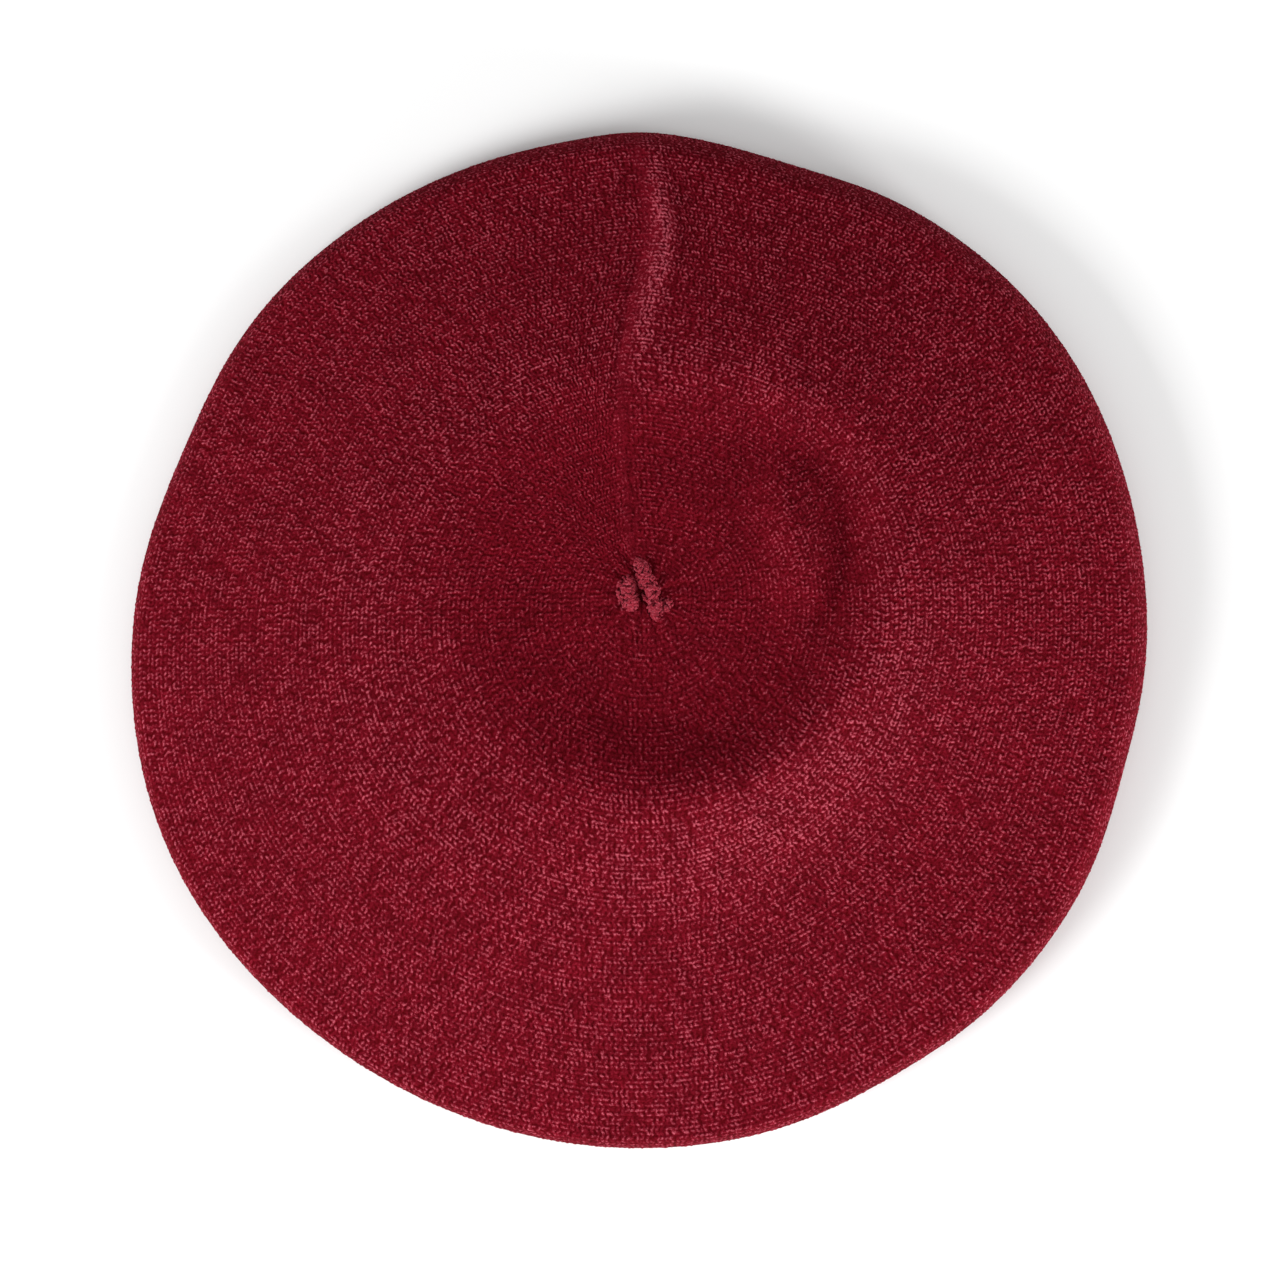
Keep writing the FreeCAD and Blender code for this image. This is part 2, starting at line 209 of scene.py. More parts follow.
def rim_drop(x, y):
    """0 inside the rim's round, growing to 1 where the knit folds under."""
    start = around(np.arctan2(y, x), RIM_ROUND)
    inward = np.clip((outline_part(x, y)[1] - start) / (1.0 - start), 0.0, 1.0)
    return (1.0 - np.sqrt(1.0 - (RIM_FOLD * inward) ** 2)) / (1.0 - math.sqrt(1.0 - RIM_FOLD**2))


def rim_heights(x, y):
    """(height where the slope reaches the rim, height of the rim's outermost line) that way."""
    rim = around(np.arctan2(y, x), RIM_HEIGHT)
    return rim, RIM_APEX + RIM_APEX_SHARE * (rim - RIM_USUAL)


def top_point(x, y):
    rim, apex = rim_heights(x, y)
    return crown_height(x, y) - (rim - apex) * rim_drop(x, y)


UNDER_LOW = 1.6  # the underside's outer face just inside the rim
UNDER_HIGH = 21.9  # and at the headband
UNDER_FLAT = 6.0  # width inside the rim that lies on the table
UNDER_CURVE = 1.15


def under_point(x, y):
    distance = np.hypot(x, y)
    rim_way, _ = outline_part(x, y)
    flat = rim_way - UNDER_FLAT
    climb = np.clip((flat - distance) / (flat - BAND_OUTER), 0.0, 1.0)
    z = UNDER_LOW + (UNDER_HIGH - UNDER_LOW) * climb**UNDER_CURVE
    return z + (rim_heights(x, y)[1] - UNDER_LOW) * rim_drop(x, y)


# ------------------------------------------------------------------ the seam's line

# The seam's way from the gathered centre to the rim: distance to the back, sideways.
SEAM_LINE = [
    (5.5, 5.2),
    (20, 1.6),
    (45, 0.0),
    (68, -0.8),
    (84, 1.7),
    (96, 5.2),
    (106, 6.9),
    (122, 4.6),
    (134, 3.0),
]


def seam_sideways(y):
    ys, xs = zip(*SEAM_LINE)
    rows = np.linspace(ys[0], ys[-1], 130)
    line = np.interp(rows, ys, xs)
    for _ in range(3):
        line[1:-1] = (line[:-2] + 2.0 * line[1:-1] + line[2:]) / 4.0
    return np.interp(y, rows, line)


def bend_to_seam(x, y, straight_x):
    """Sideways shift that brings the knit's first and last rows onto the seam's line."""
    near = np.exp(-(((x - straight_x) / 16.0) ** 2)) * smoothstep(5.0, 20.0, y)
    return (seam_sideways(y) - straight_x) * near


# ------------------------------------------------------------------ tables of the surface

SEAM_RUN = 127.0  # from the gathered centre back to the rim
SEAM_END_ASIDE = 0.8
SEAM_ANGLE = math.atan2(SEAM_RUN, OUTLINE_CENTRE[0] - SEAM_END_ASIDE - GATHER[0])
TABLE_TURNS = 720
TABLE_STEPS = 500


def ray_table(top):
    """Points along rays, from the gathered centre to the rim (top) or from the rim to the band."""
    angle = np.linspace(0.0, TURN, TABLE_TURNS, endpoint=False)[:, None] + SEAM_ANGLE
    ease = np.sin(0.5 * math.pi * np.linspace(0.0, 1.0, TABLE_STEPS))[None, :]
    along = np.stack([np.cos(angle), np.sin(angle)])
    # the rim's point that way from the gathered centre
    reach = np.full_like(angle, NEAR_RIM)
    for _ in range(30):
        spot = GATHER[:, None, None] + along * reach
        _, part = outline_part(spot[0], spot[1])
        reach = reach / part
    rim = GATHER[:, None, None] + along * reach
    if top:
        start = GATHER[:, None, None] + along * HOLE_RADIUS
        spots = start + (rim - start) * ease
    else:
        # to the band's outer face, in the direction of the rim's point from the opening's axis
        direction = rim / np.hypot(rim[0], rim[1])
        foot = direction * (BAND_OUTER + 0.3)
        spots = rim + (foot - rim) * (1.0 - ease[:, ::-1])
    x, y = spots
    straight = GATHER[0] + (y - GATHER[1]) * ((OUTLINE_CENTRE[0] - GATHER[0]) / SEAM_RUN)
    x = x + np.where(y > GATHER[1], bend_to_seam(x, y, straight), 0.0) * top
    z = top_point(x, y) if top else under_point(x, y)
    return np.stack([x, y, z])


def even_rows(points, parts):
    """The table's points at these parts of each ray's length, as (3, rows, turns)."""
    step = np.sqrt((np.diff(points, axis=2) ** 2).sum(0))
    length = np.concatenate([np.zeros((TABLE_TURNS, 1)), np.cumsum(step, axis=1)], axis=1)
    rows = np.empty((3, len(parts), TABLE_TURNS))
    for turn in range(TABLE_TURNS):
        want = np.asarray(parts) * length[turn, -1]
        for axis in range(3):
            rows[axis, :, turn] = np.interp(want, length[turn], points[axis, turn])
    return rows


def row_normals(rows):
    """Unit normals of a (3, rows, turns) table, away from the fabric's inner side."""
    down = np.gradient(rows, axis=1)
    round_ = np.roll(rows, -1, axis=2) - np.roll(rows, 1, axis=2)
    normal = np.cross(down, round_, axis=0)
    return normal / np.maximum(np.sqrt((normal**2).sum(0)), 1e-9)


def at_turns(row, turns):
    """One row's (3, turns) values at these fractions of a turn."""
    grid = np.arange(TABLE_TURNS) / TABLE_TURNS
    return np.stack([np.interp(turns % 1.0, grid, axis, period=1.0) for axis in row])


# ------------------------------------------------------------------ stitches

LEG_HALF_LENGTH = 0.90
LEG_HALF_WIDTH = 0.43


def quads(low, high, count):
    """Quads between two closed rows of the same count, from their first vertex numbers."""
    i = np.arange(count)
    after = (i + 1) % count
    return np.stack([low + i, high + i, high + after, low + after], axis=1)


def zip_rows(low, high, low_count, high_count):
    """Triangles between two closed rows whose counts differ, each spread evenly round the turn."""
    steps = np.concatenate(
        [(np.arange(low_count) + 1) / low_count, (np.arange(high_count) + 1) / high_count - 1e-9]
    )
    on_high = np.concatenate([np.zeros(low_count, bool), np.ones(high_count, bool)])
    order = np.argsort(steps, kind="stable")
    on_high = on_high[order]
    j = np.cumsum(on_high) - on_high
    i = np.cumsum(~on_high) - ~on_high
    a = low + i % low_count
    b = high + j % high_count
    c = np.where(on_high, high + (j + 1) % high_count, low + (i + 1) % low_count)
    return np.stack([a, b, c], axis=1)


class Layer:
    """One face of the knitted panel: closed rows of vertices along the columns of stitches."""

    def __init__(self, points, stitches, rows_per_wale, per_stitch, shape, first_vertex):
        parts, self.counts, cells = [0.0], [stitches[0] * per_stitch], [None]
        wales = len(stitches)
        for wale, count in enumerate(stitches):
            for row in range(rows_per_wale):
                across = (row + 0.5) / rows_per_wale
                parts.append((wale + across) / wales)
                self.counts.append(count * per_stitch)
                cells.append((wale, across))
        parts.append(1.0)
        self.counts.append(stitches[-1] * per_stitch)
        cells.append(None)
        rows = even_rows(points, parts)
        normals = row_normals(rows)
        noise = [stitch_noise(count) for count in stitches]
        self.starts = first_vertex + np.concatenate([[0], np.cumsum(self.counts)])
        vertices, reliefs = [], []
        for index, count in enumerate(self.counts):
            turns = (np.arange(count) + 0.5) / count
            spot, normal = at_turns(rows[:, index], turns), at_turns(normals[:, index], turns)
            normal = normal / np.sqrt((normal**2).sum(0))
            relief = np.full(count, 0.5)
            if cells[index]:
                wale, across = cells[index]
                along = (np.arange(count) + 0.5) / per_stitch
                relief = stitch_relief(across, along, noise[wale])
            lift, relief = shape(spot, turns, relief)
            vertices.append((spot + normal * lift).T)
            reliefs.append(relief)
        self.vertices = np.concatenate(vertices)
        self.relief = np.concatenate(reliefs)

    def faces(self):
        fours, threes = [], []
        for index in range(len(self.counts) - 1):
            low, high = self.starts[index], self.starts[index + 1]
            low_count, high_count = self.counts[index], self.counts[index + 1]
            if low_count == high_count:
                fours.append(quads(low, high, low_count))
            else:
                threes.append(zip_rows(low, high, low_count, high_count))
        return np.concatenate(fours), np.concatenate(threes)


def stitch_noise(count):
    """For each stitch and each of its two legs, a shift along the column, a height and a turn."""
    shift = random.normal(0.0, 0.15, (2, count))
    tall = 1.04 - np.abs(random.normal(0.0, 0.32, (2, count)))
    lean = random.normal(0.0, 0.38, (2, count))
    return shift, np.clip(tall, 0.3, 1.0), lean


LEG_LEAN = math.atan2(0.5 * COURSE, 0.26 * WALE)


def stitch_relief(across, along, noise):
    """Height, 0 to 1, of a knit column's slanting legs. along counts stitches and across is 0 to 1."""
    shift, tall, lean = noise
    count = shift.shape[1]
    best = np.zeros(len(along))
    for side, way in enumerate((-1.0, 1.0)):
        u = (across - 0.5 - way * 0.25) * WALE * way
        for neighbour in (-1, 0, 1):
            which = (np.floor(along).astype(int) + neighbour) % count
            v = (along % 1.0 - 0.5 - neighbour + shift[side, which]) * COURSE
            turn = LEG_LEAN + lean[side, which]
            lengthways = u * np.cos(turn) + v * np.sin(turn)
            sideways = u * np.sin(turn) - v * np.cos(turn)
            leg = 1.0 - (lengthways / LEG_HALF_LENGTH) ** 2 - (sideways / LEG_HALF_WIDTH) ** 2
            best = np.maximum(best, np.sqrt(np.maximum(leg, 0.0)) * tall[side, which])
    # The columns' edges sit lower, and through the colour that follows this value they are darker: painted
    # shade between the columns.
    edge = min(across, 1.0 - across) * WALE
    return best * (1.0 - 0.35 * math.exp(-((edge / 0.25) ** 2)))


def seam_side(spot, turns):
    """Distance along the fabric from the seam, positive to its left, and from the gathered centre."""
    away = np.hypot(spot[0] - GATHER[0], spot[1] - GATHER[1])
    side = ((turns + 0.5) % 1.0 - 0.5) * TURN * away
    return side, away


def bump(value, centre, half_width):
    return np.exp(-(((value - centre) / half_width) ** 2))


def seam_relief(side, away, relief):
    """The knit near the seam: the columns' ends meet in uneven chevrons."""
    slant = (away + 0.6 * np.abs(side)) / COURSE
    uneven = 0.7 + 0.3 * np.sin(away * 1.9) * np.sin(away * 0.73 + 1.0)
    chevron = (0.25 + 0.75 * np.sin(math.pi * slant) ** 2) * uneven
    near = 0.6 * bump(side, 0.0, SEAM_HALF_WIDTH)
    return relief + (chevron - relief) * near


WELT_HEIGHT = 2.0
GROOVE_DEPTH = 0.7
BAND_RISE = 0.5
LINE_DEPTH = 0.3
# Painted highlight on the seam's raised welt and band, and painted shade in its fine line.
RISE_PAINTED_HIGHLIGHT = 0.17
LINE_PAINTED_SHADE = 0.25


def outer_top(spot, turns, relief):
    """Lift and relief of the crown's outer face."""
    side, away = seam_side(spot, turns)
    relief = np.where(away > 9.0, seam_relief(side, away, relief), relief)
    # outside the sunken centre, the edge on the right laps up over a groove on the left
    outside = smoothstep(52.0, 92.0, away) * (1.0 - smoothstep(102.0, 130.0, away))
    welt = WELT_HEIGHT * bump(side, -4.4, 3.2) * outside
    grooved = smoothstep(52.0, 64.0, away) * (1.0 - smoothstep(84.0, 96.0, away))
    groove = GROOVE_DEPTH * bump(side, 1.6, 1.5) * grooved
    # inside, a narrow raised band lies left of a fine line
    inside = smoothstep(9.0, 16.0, away) * (1.0 - smoothstep(50.0, 66.0, away))
    band = BAND_RISE * bump(side, 1.9, 1.3) * inside
    line = LINE_DEPTH * bump(side + 0.5 * np.sin(away * 0.9), -0.5, 0.6) * inside
    funnel = 1.6 * np.exp(-((away / 2.4) ** 2))
    pucker = 0.35 * np.exp(-(((away - 6.0) / 6.5) ** 2)) * np.cos(GORES * turns * TURN)
    rise = welt + band
    lift = STITCH_RELIEF * relief + rise - groove - line - funnel + pucker
    # The colour's tone holds painted shade and highlight: the dish's shade and the ridge's highlight, a
    # painted highlight on the welt and raised band, and painted shade in the fine line.
    tone = relief * painted_shade_and_highlight(spot) + RISE_PAINTED_HIGHLIGHT * rise - LINE_PAINTED_SHADE * line
    return lift, np.clip(tone, 0.0, 1.0)


# Painted shade and highlight in the knit's colour: darker in the dish, paler on the ridge at the front
# right, on the ring over the headband and on the bump.
DISH_PAINTED_SHADE = 0.2
RIDGE_PAINTED_HIGHLIGHT = 0.16
RIDGE_AWAY = 12.0  # the middle of the ridge's pale stretch, outside the dish's edge
RIDGE_HALF_WIDTH = 14.0
RING_OVER_BAND = 73.0  # where the headband below holds the crown up
RING_HALF_WIDTH = 9.0
RING_SHARE = 0.5  # the ring's paleness beside the ridge's
SWELL_SHARE = 0.15  # and that of the bump, for each millimetre of its height


def painted_shade_and_highlight(spot):
    """Painted shade and highlight: the knit's colour is a little darker down in the dish and a little paler
    where it stands up.
    """
    angle, distance = np.arctan2(spot[1], spot[0]), np.hypot(spot[0], spot[1])
    edge = dish_edge(angle)
    sunken = 1.0 - smoothstep(edge - 14.0, edge + 2.0, distance)
    steep = swell(angle, STEEP_WAY, STEEP_HALF_WIDTH)
    raised = bump(distance, edge + RIDGE_AWAY, RIDGE_HALF_WIDTH) * steep
    raised = raised + RING_SHARE * bump(distance, RING_OVER_BAND, RING_HALF_WIDTH)
    raised = raised + SWELL_SHARE * crown_swells(spot[0], spot[1])
    return 1.0 - DISH_PAINTED_SHADE * sunken + RIDGE_PAINTED_HIGHLIGHT * raised


def outer_under(spot, turns, relief):
    side, away = seam_side(spot, turns)
    relief = seam_relief(side, away, relief)
    return STITCH_RELIEF * relief - 0.4 * bump(side, 0.0, 0.8), relief


def inner_face(spot, turns, relief):
    """The purl side: a shallow negative of the stitches, one thickness in."""
    # The same value sets its colour: painted shade and highlight that follow the purl bumps.
    low = 0.5 * (1.0 - relief)
    return -KNIT_THICK - 0.25 * low, low


# ------------------------------------------------------------------ meshes


def mesh_object(name, vertices, faces, material, uv=None, relief=None, flat=0):
    """A smooth mesh from vertices in millimetres and arrays of faces, the last few arrays flat."""
    mesh = bpy.data.meshes.new(name)
    corners = np.concatenate([f.ravel() for f in faces])
    sizes = np.concatenate([np.full(len(f), f.shape[1]) for f in faces])
    mesh.vertices.add(len(vertices))
    mesh.vertices.foreach_set("co", (np.asarray(vertices, float) * MM).ravel())
    mesh.loops.add(len(corners))
    mesh.loops.foreach_set("vertex_index", corners.astype(np.int32))
    mesh.polygons.add(len(sizes))
    starts = np.concatenate([[0], np.cumsum(sizes)[:-1]])
    mesh.polygons.foreach_set("loop_start", starts.astype(np.int32))
    smooth = [np.full(len(f), number < len(faces) - flat) for number, f in enumerate(faces)]
    mesh.polygons.foreach_set("use_smooth", np.concatenate(smooth))
    mesh.update(calc_edges=True)
    if uv is not None:
        layer = mesh.uv_layers.new(name="OFBake")
        layer.data.foreach_set("uv", uv.astype(np.float32).ravel())
    if relief is not None:
        field = mesh.attributes.new("relief", "FLOAT", "POINT")
        field.data.foreach_set("value", relief.astype(np.float32))
    mesh.validate()
    made = bpy.data.objects.new(name, mesh)
    bpy.context.scene.collection.objects.link(made)
    mesh.materials.append(material)
    return made


def plan_uv(vertices, corner, width):
    """UVs of vertices seen from above, in the square of that width from that corner."""
    low = CAD_LOW - 6.0
    span = CAD_HIGH - CAD_LOW + 12.0
    return corner + width * (vertices[:, :2] - low[:2]) / span[0]


def knitted_piece(name, points, stitches, outer_shape, fine, material):
    """A closed piece of knit with a fine outer face and a coarser inner one."""
    rows, per_stitch = fine
    outer = Layer(points, stitches, rows, per_stitch, outer_shape, 0)
    inner = Layer(points, stitches, 2, 2, inner_face, len(outer.vertices))
    outer_quads, outer_tris = outer.faces()
    inner_quads, inner_tris = inner.faces()
    start = zip_rows(inner.starts[0], outer.starts[0], inner.counts[0], outer.counts[0])
    end = zip_rows(outer.starts[-2], inner.starts[-2], outer.counts[-1], inner.counts[-1])
    faces = [outer_quads, inner_quads[:, ::-1], outer_tris, inner_tris[:, ::-1], start, end]
    vertices = np.concatenate([outer.vertices, inner.vertices])
    uv = np.concatenate(
        [plan_uv(outer.vertices, 0.0, 0.74), plan_uv(inner.vertices, 0.745, 0.25)]
    )
    edge = [np.repeat(uv[wall[:, 0]], 3, axis=0) for wall in (start, end)]
    corner_uv = np.concatenate([uv[f.ravel()] for f in faces[:4]] + edge)
    relief = np.concatenate([outer.relief, inner.relief])
    return mesh_object(name, vertices, faces, material, corner_uv, relief, flat=2)


# ------------------------------------------------------------------ materials


class Nodes:
    """A material's node tree, with short calls to add and join nodes."""

    def __init__(self, name):
        self.material = bpy.data.materials.new(name)
        self.material.use_nodes = True
        self.tree = self.material.node_tree
        self.shader = self.tree.nodes["Principled BSDF"]

    def add(self, kind, **values):
        node = self.tree.nodes.new("ShaderNode" + kind)
        for key, value in values.items():
            setattr(node, key, value)
        return node

    def join(self, out, into):
        self.tree.links.new(out, into)

    def place(self):
        return self.add("TexCoord").outputs["Object"]

    def noise(self, per_metre, detail=2.0, roughness=0.5):
        node = self.add("TexNoise")
        node.inputs["Scale"].default_value = per_metre
        node.inputs["Detail"].default_value = detail
        node.inputs["Roughness"].default_value = roughness
        self.join(self.place(), node.inputs["Vector"])
        return node.outputs["Fac"]

    def spread(self, value, low, high):
        """value from 0.3..0.7, where noise lies, to low..high."""
        node = self.add("MapRange")
        for socket, number in zip(("From Min", "From Max", "To Min", "To Max"), (0.3, 0.7, low, high)):
            node.inputs[socket].default_value = number
        self.join(value, node.inputs["Value"])
        return node.outputs["Result"]

    def ramp(self, value, stops):
        node = self.add("ValToRGB")
        points = node.color_ramp.elements
        while len(points) < len(stops):
            points.new(0.5)
        for point, (where, colour) in zip(points, stops):
            point.position = where
            point.color = (*colour, 1.0)
        self.join(value, node.inputs["Fac"])
        return node.outputs["Color"]

    def times(self, colour, value):
        node = self.add("VectorMath", operation="SCALE")
        self.join(colour, node.inputs[0])
        self.join(value, node.inputs["Scale"])
        return node.outputs["Vector"]

    def maths(self, operation, first, second):
        node = self.add("Math", operation=operation)
        for socket, value in zip(node.inputs, (first, second)):
            if isinstance(value, float):
                socket.default_value = value
            else:
                self.join(value, socket)
        return node.outputs["Value"]

    def bump(self, height, distance, strength=1.0):
        node = self.add("Bump")
        node.inputs["Distance"].default_value = distance
        node.inputs["Strength"].default_value = strength
        self.join(height, node.inputs["Height"])
        self.join(node.outputs["Normal"], self.shader.inputs["Normal"])

    def set(self, **values):
        for key, value in values.items():
            self.shader.inputs[key.replace("_", " ")].default_value = value


def yarn_material(name, dark, middle, pale, relief=True, fibre=0.00012):
    """Matte spun yarn with fine fibres and a faint mottle; with relief on, its colour is painted shade in
    the hollows and painted highlight on the tops of the stitches.
    """
    nodes = Nodes(name)
    fibres = nodes.noise(1900.0, 3.0, 0.7)
    if relief:
        # The relief sets the colour: painted shade where the stitches dip, painted highlight where they
        # stand up.
        height = nodes.add("Attribute", attribute_name="relief").outputs["Fac"]
        level = nodes.maths("ADD", nodes.maths("MULTIPLY", height, 0.75), nodes.spread(fibres, -0.22, 0.38))
    else:
        level = nodes.spread(fibres, 0.15, 0.95)
    colour = nodes.ramp(level, [(0.0, dark), (0.55, middle), (1.0, pale)])
    broad = nodes.spread(nodes.noise(90.0, 3.0), 0.9, 1.1)
    mottle = nodes.maths("MULTIPLY", broad, nodes.spread(nodes.noise(420.0), 0.88, 1.12))
    nodes.join(nodes.times(colour, mottle), nodes.shader.inputs["Base Color"])
    nodes.join(nodes.spread(fibres, 0.95, 0.75), nodes.shader.inputs["Roughness"])
    nodes.set(Sheen_Weight=0.012, Sheen_Roughness=0.5, Specular_IOR_Level=0.02)
    nodes.shader.inputs["Sheen Tint"].default_value = (1.0, 0.45, 0.5, 1.0)
    nodes.bump(fibres, fibre, 0.8)
    return nodes.material


WAVE_BANDS = 3.14159  # about the threads in a metre at a scale of 1


def weave_material(name, dark, pale, threads_per_metre, sheen=0.2, rough=0.6):
    """Fine woven ribbon: crossing threads as colour and bump."""
    nodes = Nodes(name)
    waves = []
    for direction in ("X", "Y"):
        wave = nodes.add("TexWave", wave_type="BANDS", bands_direction=direction)
        wave.inputs["Scale"].default_value = threads_per_metre / WAVE_BANDS
        wave.inputs["Distortion"].default_value = 0.4
        nodes.join(nodes.place(), wave.inputs["Vector"])
        waves.append(wave.outputs["Fac"])
    threads = nodes.maths("MULTIPLY", *waves)
    level = nodes.maths("ADD", threads, nodes.spread(nodes.noise(900.0, 3.0), -0.15, 0.15))
    nodes.join(nodes.ramp(level, [(0.0, dark), (1.0, pale)]), nodes.shader.inputs["Base Color"])
    nodes.join(nodes.spread(nodes.noise(500.0), rough - 0.1, rough + 0.1), nodes.shader.inputs["Roughness"])
    nodes.set(Sheen_Weight=sheen, Specular_IOR_Level=0.4)
    nodes.bump(threads, 0.00008, 0.7)
    return nodes.material


# ------------------------------------------------------------------ yarn as tubes


def tube(path, radius, closed=False, sides=8, plies=3, twist=1.6):
    """(vertices, quads) of a plied yarn along a path. twist is turns of the plies per radius times 10."""
    path = np.asarray(path, float)
    if closed:
        tangent = np.roll(path, -1, axis=0) - np.roll(path, 1, axis=0)
    else:
        tangent = np.gradient(path, axis=0)
    tangent /= np.linalg.norm(tangent, axis=1)[:, None]
    side = np.cross(tangent[0], [0.3, 0.2, 1.0])
    sides_of = []
    for step in tangent:
        side = side - step * side.dot(step)
        side = side / np.linalg.norm(side)
        sides_of.append(side)
    side = np.array(sides_of)
    other = np.cross(tangent, side)
    length = np.concatenate([[0], np.cumsum(np.linalg.norm(np.diff(path, axis=0), axis=1))])
    angle = np.arange(sides) * TURN / sides
    radius = np.broadcast_to(radius, len(path))[:, None]
    plied = 1.0 + 0.1 * np.cos(plies * (angle + twist * length[:, None] / radius.mean() * 0.3))
    reach = (radius * plied)[..., None]
    ring = path[:, None] + reach * (
        np.cos(angle)[None, :, None] * side[:, None] + np.sin(angle)[None, :, None] * other[:, None]
    )
    if not closed:
        for end in (0, -1):
            ring[end] = path[end] + (ring[end] - path[end]) * 0.45
    count = len(path)
    vertices = ring.reshape(-1, 3)
    faces = []
    for i in range(count if closed else count - 1):
        low, high = i * sides, ((i + 1) % count) * sides
        k = np.arange(sides)
        after = (k + 1) % sides
        faces.append(np.stack([low + k, low + after, high + after, high + k], axis=1))
    faces = np.concatenate(faces)
    caps = np.empty((0, 3), int)
    if not closed:
        fan = np.arange(1, sides - 1)
        near = np.stack([np.zeros_like(fan), fan + 1, fan], axis=1)
        far = np.stack([np.zeros_like(fan), fan, fan + 1], axis=1) + (count - 1) * sides
        caps = np.concatenate([near, far])
    return vertices, faces, caps


def yarn_piece(name, paths, radii, material, closed=False, **looks):
    """One mesh of several yarns, of one radius or of one each."""
    if np.isscalar(radii):
        radii = [radii] * len(paths)
    vertices, fours, threes, base = [], [], [], 0
    for path, radius in zip(paths, radii):
        spots, quads_, caps = tube(path, radius, closed, **looks)
        vertices.append(spots)
        fours.append(quads_ + base)
        threes.append(caps + base)
        base += len(spots)
    faces = [np.concatenate(fours), np.concatenate(threes)]
    faces = [f for f in faces if len(f)]
    return mesh_object(name, np.concatenate(vertices), faces, material)


def smooth_path(points, count):
    """Evenly spaced points on a smooth curve through a few given ones."""
    points = np.asarray(points, float)
    knots = np.arange(len(points))
    fine = np.linspace(0, len(points) - 1, count)
    path = np.stack([np.interp(fine, knots, points[:, axis]) for axis in range(points.shape[1])], 1)
    for _ in range(max(2, count // (3 * len(points)))):
        path[1:-1] = (path[:-2] + 2.0 * path[1:-1] + path[2:]) / 4.0
    return path


def crown_z(x, y):
    return float(top_point(np.array([x]), np.array([y]))[0])


# ------------------------------------------------------------------ pieces

# The lumps of yarn that close the centre: points on each one's middle line, width and height.
LUMPS = {
    "left": ([(0.9, 10.8), (-0.4, 7.2), (0.4, 4.4), (2.4, 2.5)], 5.4, 2.2),
    "right": ([(3.0, 15.6), (4.6, 11.6), (6.3, 7.2), (7.6, 3.2), (8.4, -0.8)], 4.6, 2.5),
    "small": ([(9.3, 1.2), (10.8, 2.8), (11.8, 4.6)], 2.4, 1.3),
}
LUMP_POINTS = 60  # on each lump's middle line
LUMP_YARN = 0.36
LUMP_LOOPS = 1.7  # loops in a square millimetre


def make_closing_yarn(material):
    """Lumps of drawn-up yarn: a rounded core covered with short loops that lean every way."""
    paths, radii = [], []
    for line, width, tall in LUMPS.values():
        middle = smooth_path(line, LUMP_POINTS)
        length = np.linalg.norm(np.diff(middle, axis=0), axis=1).sum()
        taper = np.sqrt(np.maximum(1.0 - np.abs(np.linspace(-1.0, 1.0, LUMP_POINTS)) ** 3, 0.05))
        floor = crown_z(*middle.mean(axis=0)) - 0.9
        core = 0.37 * width * taper
        paths.append(np.column_stack([middle, floor + tall * taper * 0.95 - core * 0.8]))
        radii.append(core)
        for _ in range(int(LUMP_LOOPS * length * width)):
            at, turn = random.integers(1, LUMP_POINTS - 1), random.uniform(-1.3, 1.3)
            ahead = middle[at + 1] - middle[at - 1]
            ahead = ahead / np.linalg.norm(ahead)
            across = np.array([-ahead[1], ahead[0], 0.0])
            ahead = np.array([*ahead, 0.0])
            out = across * math.sin(turn) + np.array([0.0, 0.0, math.cos(turn)])
            down = across * math.cos(turn) - np.array([0.0, 0.0, math.sin(turn)])
            half, top = 0.46 * width * taper[at], tall * taper[at] + 0.5
            spot = np.array([*middle[at], floor])
            spot = spot + across * half * math.sin(turn) + np.array([0.0, 0.0, top * math.cos(turn)])
            slant = random.uniform(0.5, 1.3) * random.choice([-1.0, 1.0])
            way = ahead * math.cos(slant) + down * math.sin(slant)
            arc = np.linspace(-1.0, 1.0, 7)[:, None]
            paths.append(spot + way * arc * random.uniform(0.7, 1.05) + out * 0.55 * (0.6 - arc**2))
            radii.append(LUMP_YARN * random.uniform(0.85, 1.15))
    return yarn_piece("closing_yarn_loops", paths, radii, material, sides=8)


def ring_yarns(centre, radius, z, strands, turns, coil, count):
    """Strands that wind round a ring."""
    angle = np.linspace(0.0, TURN, count, endpoint=False)
    paths = []
    for strand in range(strands):
        phase = angle * turns + strand * TURN / strands
        reach = radius + coil * np.cos(phase)
        x, y = centre[0] + reach * np.cos(angle), centre[1] + reach * np.sin(angle)
        paths.append(np.column_stack([x, y, z + coil * np.sin(phase)]))
    return paths


def middle_of(node):
    """A CAD node's middle and sides, in millimetres."""
    low, high = (np.array(corner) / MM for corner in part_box(node))
    return (low + high) / 2.0, high - low


def make_draw_ring(material):
    middle, sides = middle_of("draw_yarn_ring")
    coil = 0.5
    radius = sides[0] / 2.0 - sides[2] / 2.0
    paths = ring_yarns(middle, radius, middle[2], 3, 7, coil, 90)
    return yarn_piece("draw_yarn_strands", paths, 0.42, material, closed=True, sides=8)


def make_join_chain(material):
    middle, sides = middle_of("band_join_yarn")
    radius = sides[0] / 2.0 - sides[2] / 2.0
    paths = ring_yarns(middle, radius, middle[2], 2, 130, 0.5, 1560)
    return yarn_piece("band_join_chain", paths, 0.36, material, closed=True, sides=6)


def make_band_seam(material):
    middle, sides = middle_of("band_seam_yarn")
    stitches = int(sides[2] / 1.5)
    phase = np.linspace(0.0, stitches * TURN, stitches * 12)
    z = np.linspace(middle[2] - sides[2] / 2 + 0.5, middle[2] + sides[2] / 2 - 0.5, len(phase))
    x = middle[0] + 0.85 * np.sin(phase)
    y = middle[1] + 0.35 + 0.3 * np.cos(2.0 * phase)
    return yarn_piece("band_seam_stitches", [np.column_stack([x, y, z])], 0.36, material)


